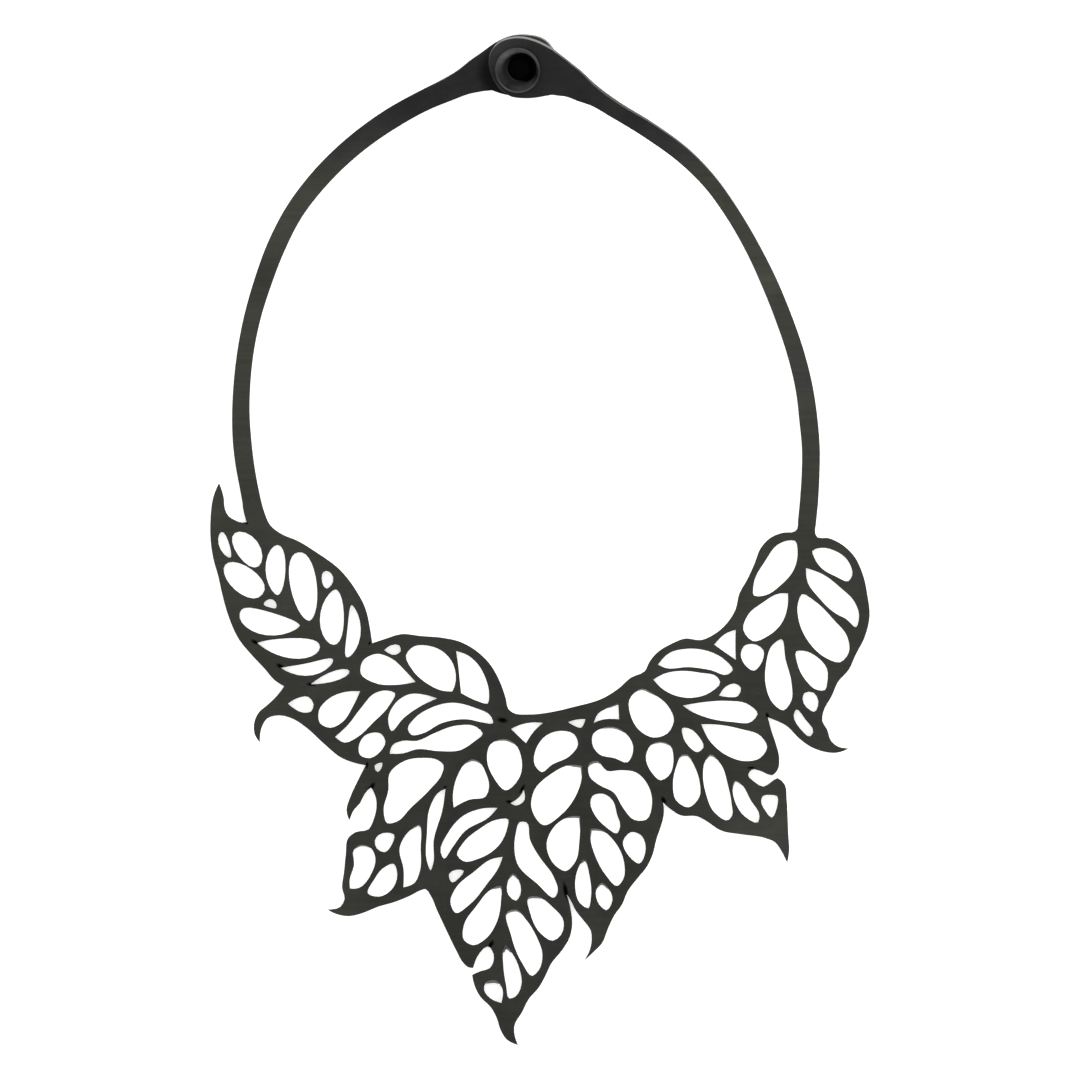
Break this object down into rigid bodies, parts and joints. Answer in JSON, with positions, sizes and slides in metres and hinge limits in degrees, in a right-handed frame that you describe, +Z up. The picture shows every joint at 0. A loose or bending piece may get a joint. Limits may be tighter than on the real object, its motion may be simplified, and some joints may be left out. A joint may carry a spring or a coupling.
{
  "type": "statement necklace",
  "caption": "Flat matt black rubber bib necklace of pierced leaves with slim straps and round tabs closed by a press snap behind the neck.",
  "frame": {"origin": "centre of the whole necklace on the surface it lies on", "axes": "+Z up off the surface, +Y from the bib's point to the snap, +X to the right as the necklace lies face up"},
  "size_m": [0.178, 0.2726, 0.011],
  "materials": {
    "rubber": "matt, softly mottled",
    "snap_metal": "black oxide, low satin"
  },
  "bodies": {
    "root": {"rubber_sheet": "rubber", "snap_ring": "snap_metal", "snap_socket": "snap_metal", "snap_stud": "snap_metal", "snap_back_cap": "snap_metal"}
  },
  "joints": []
}
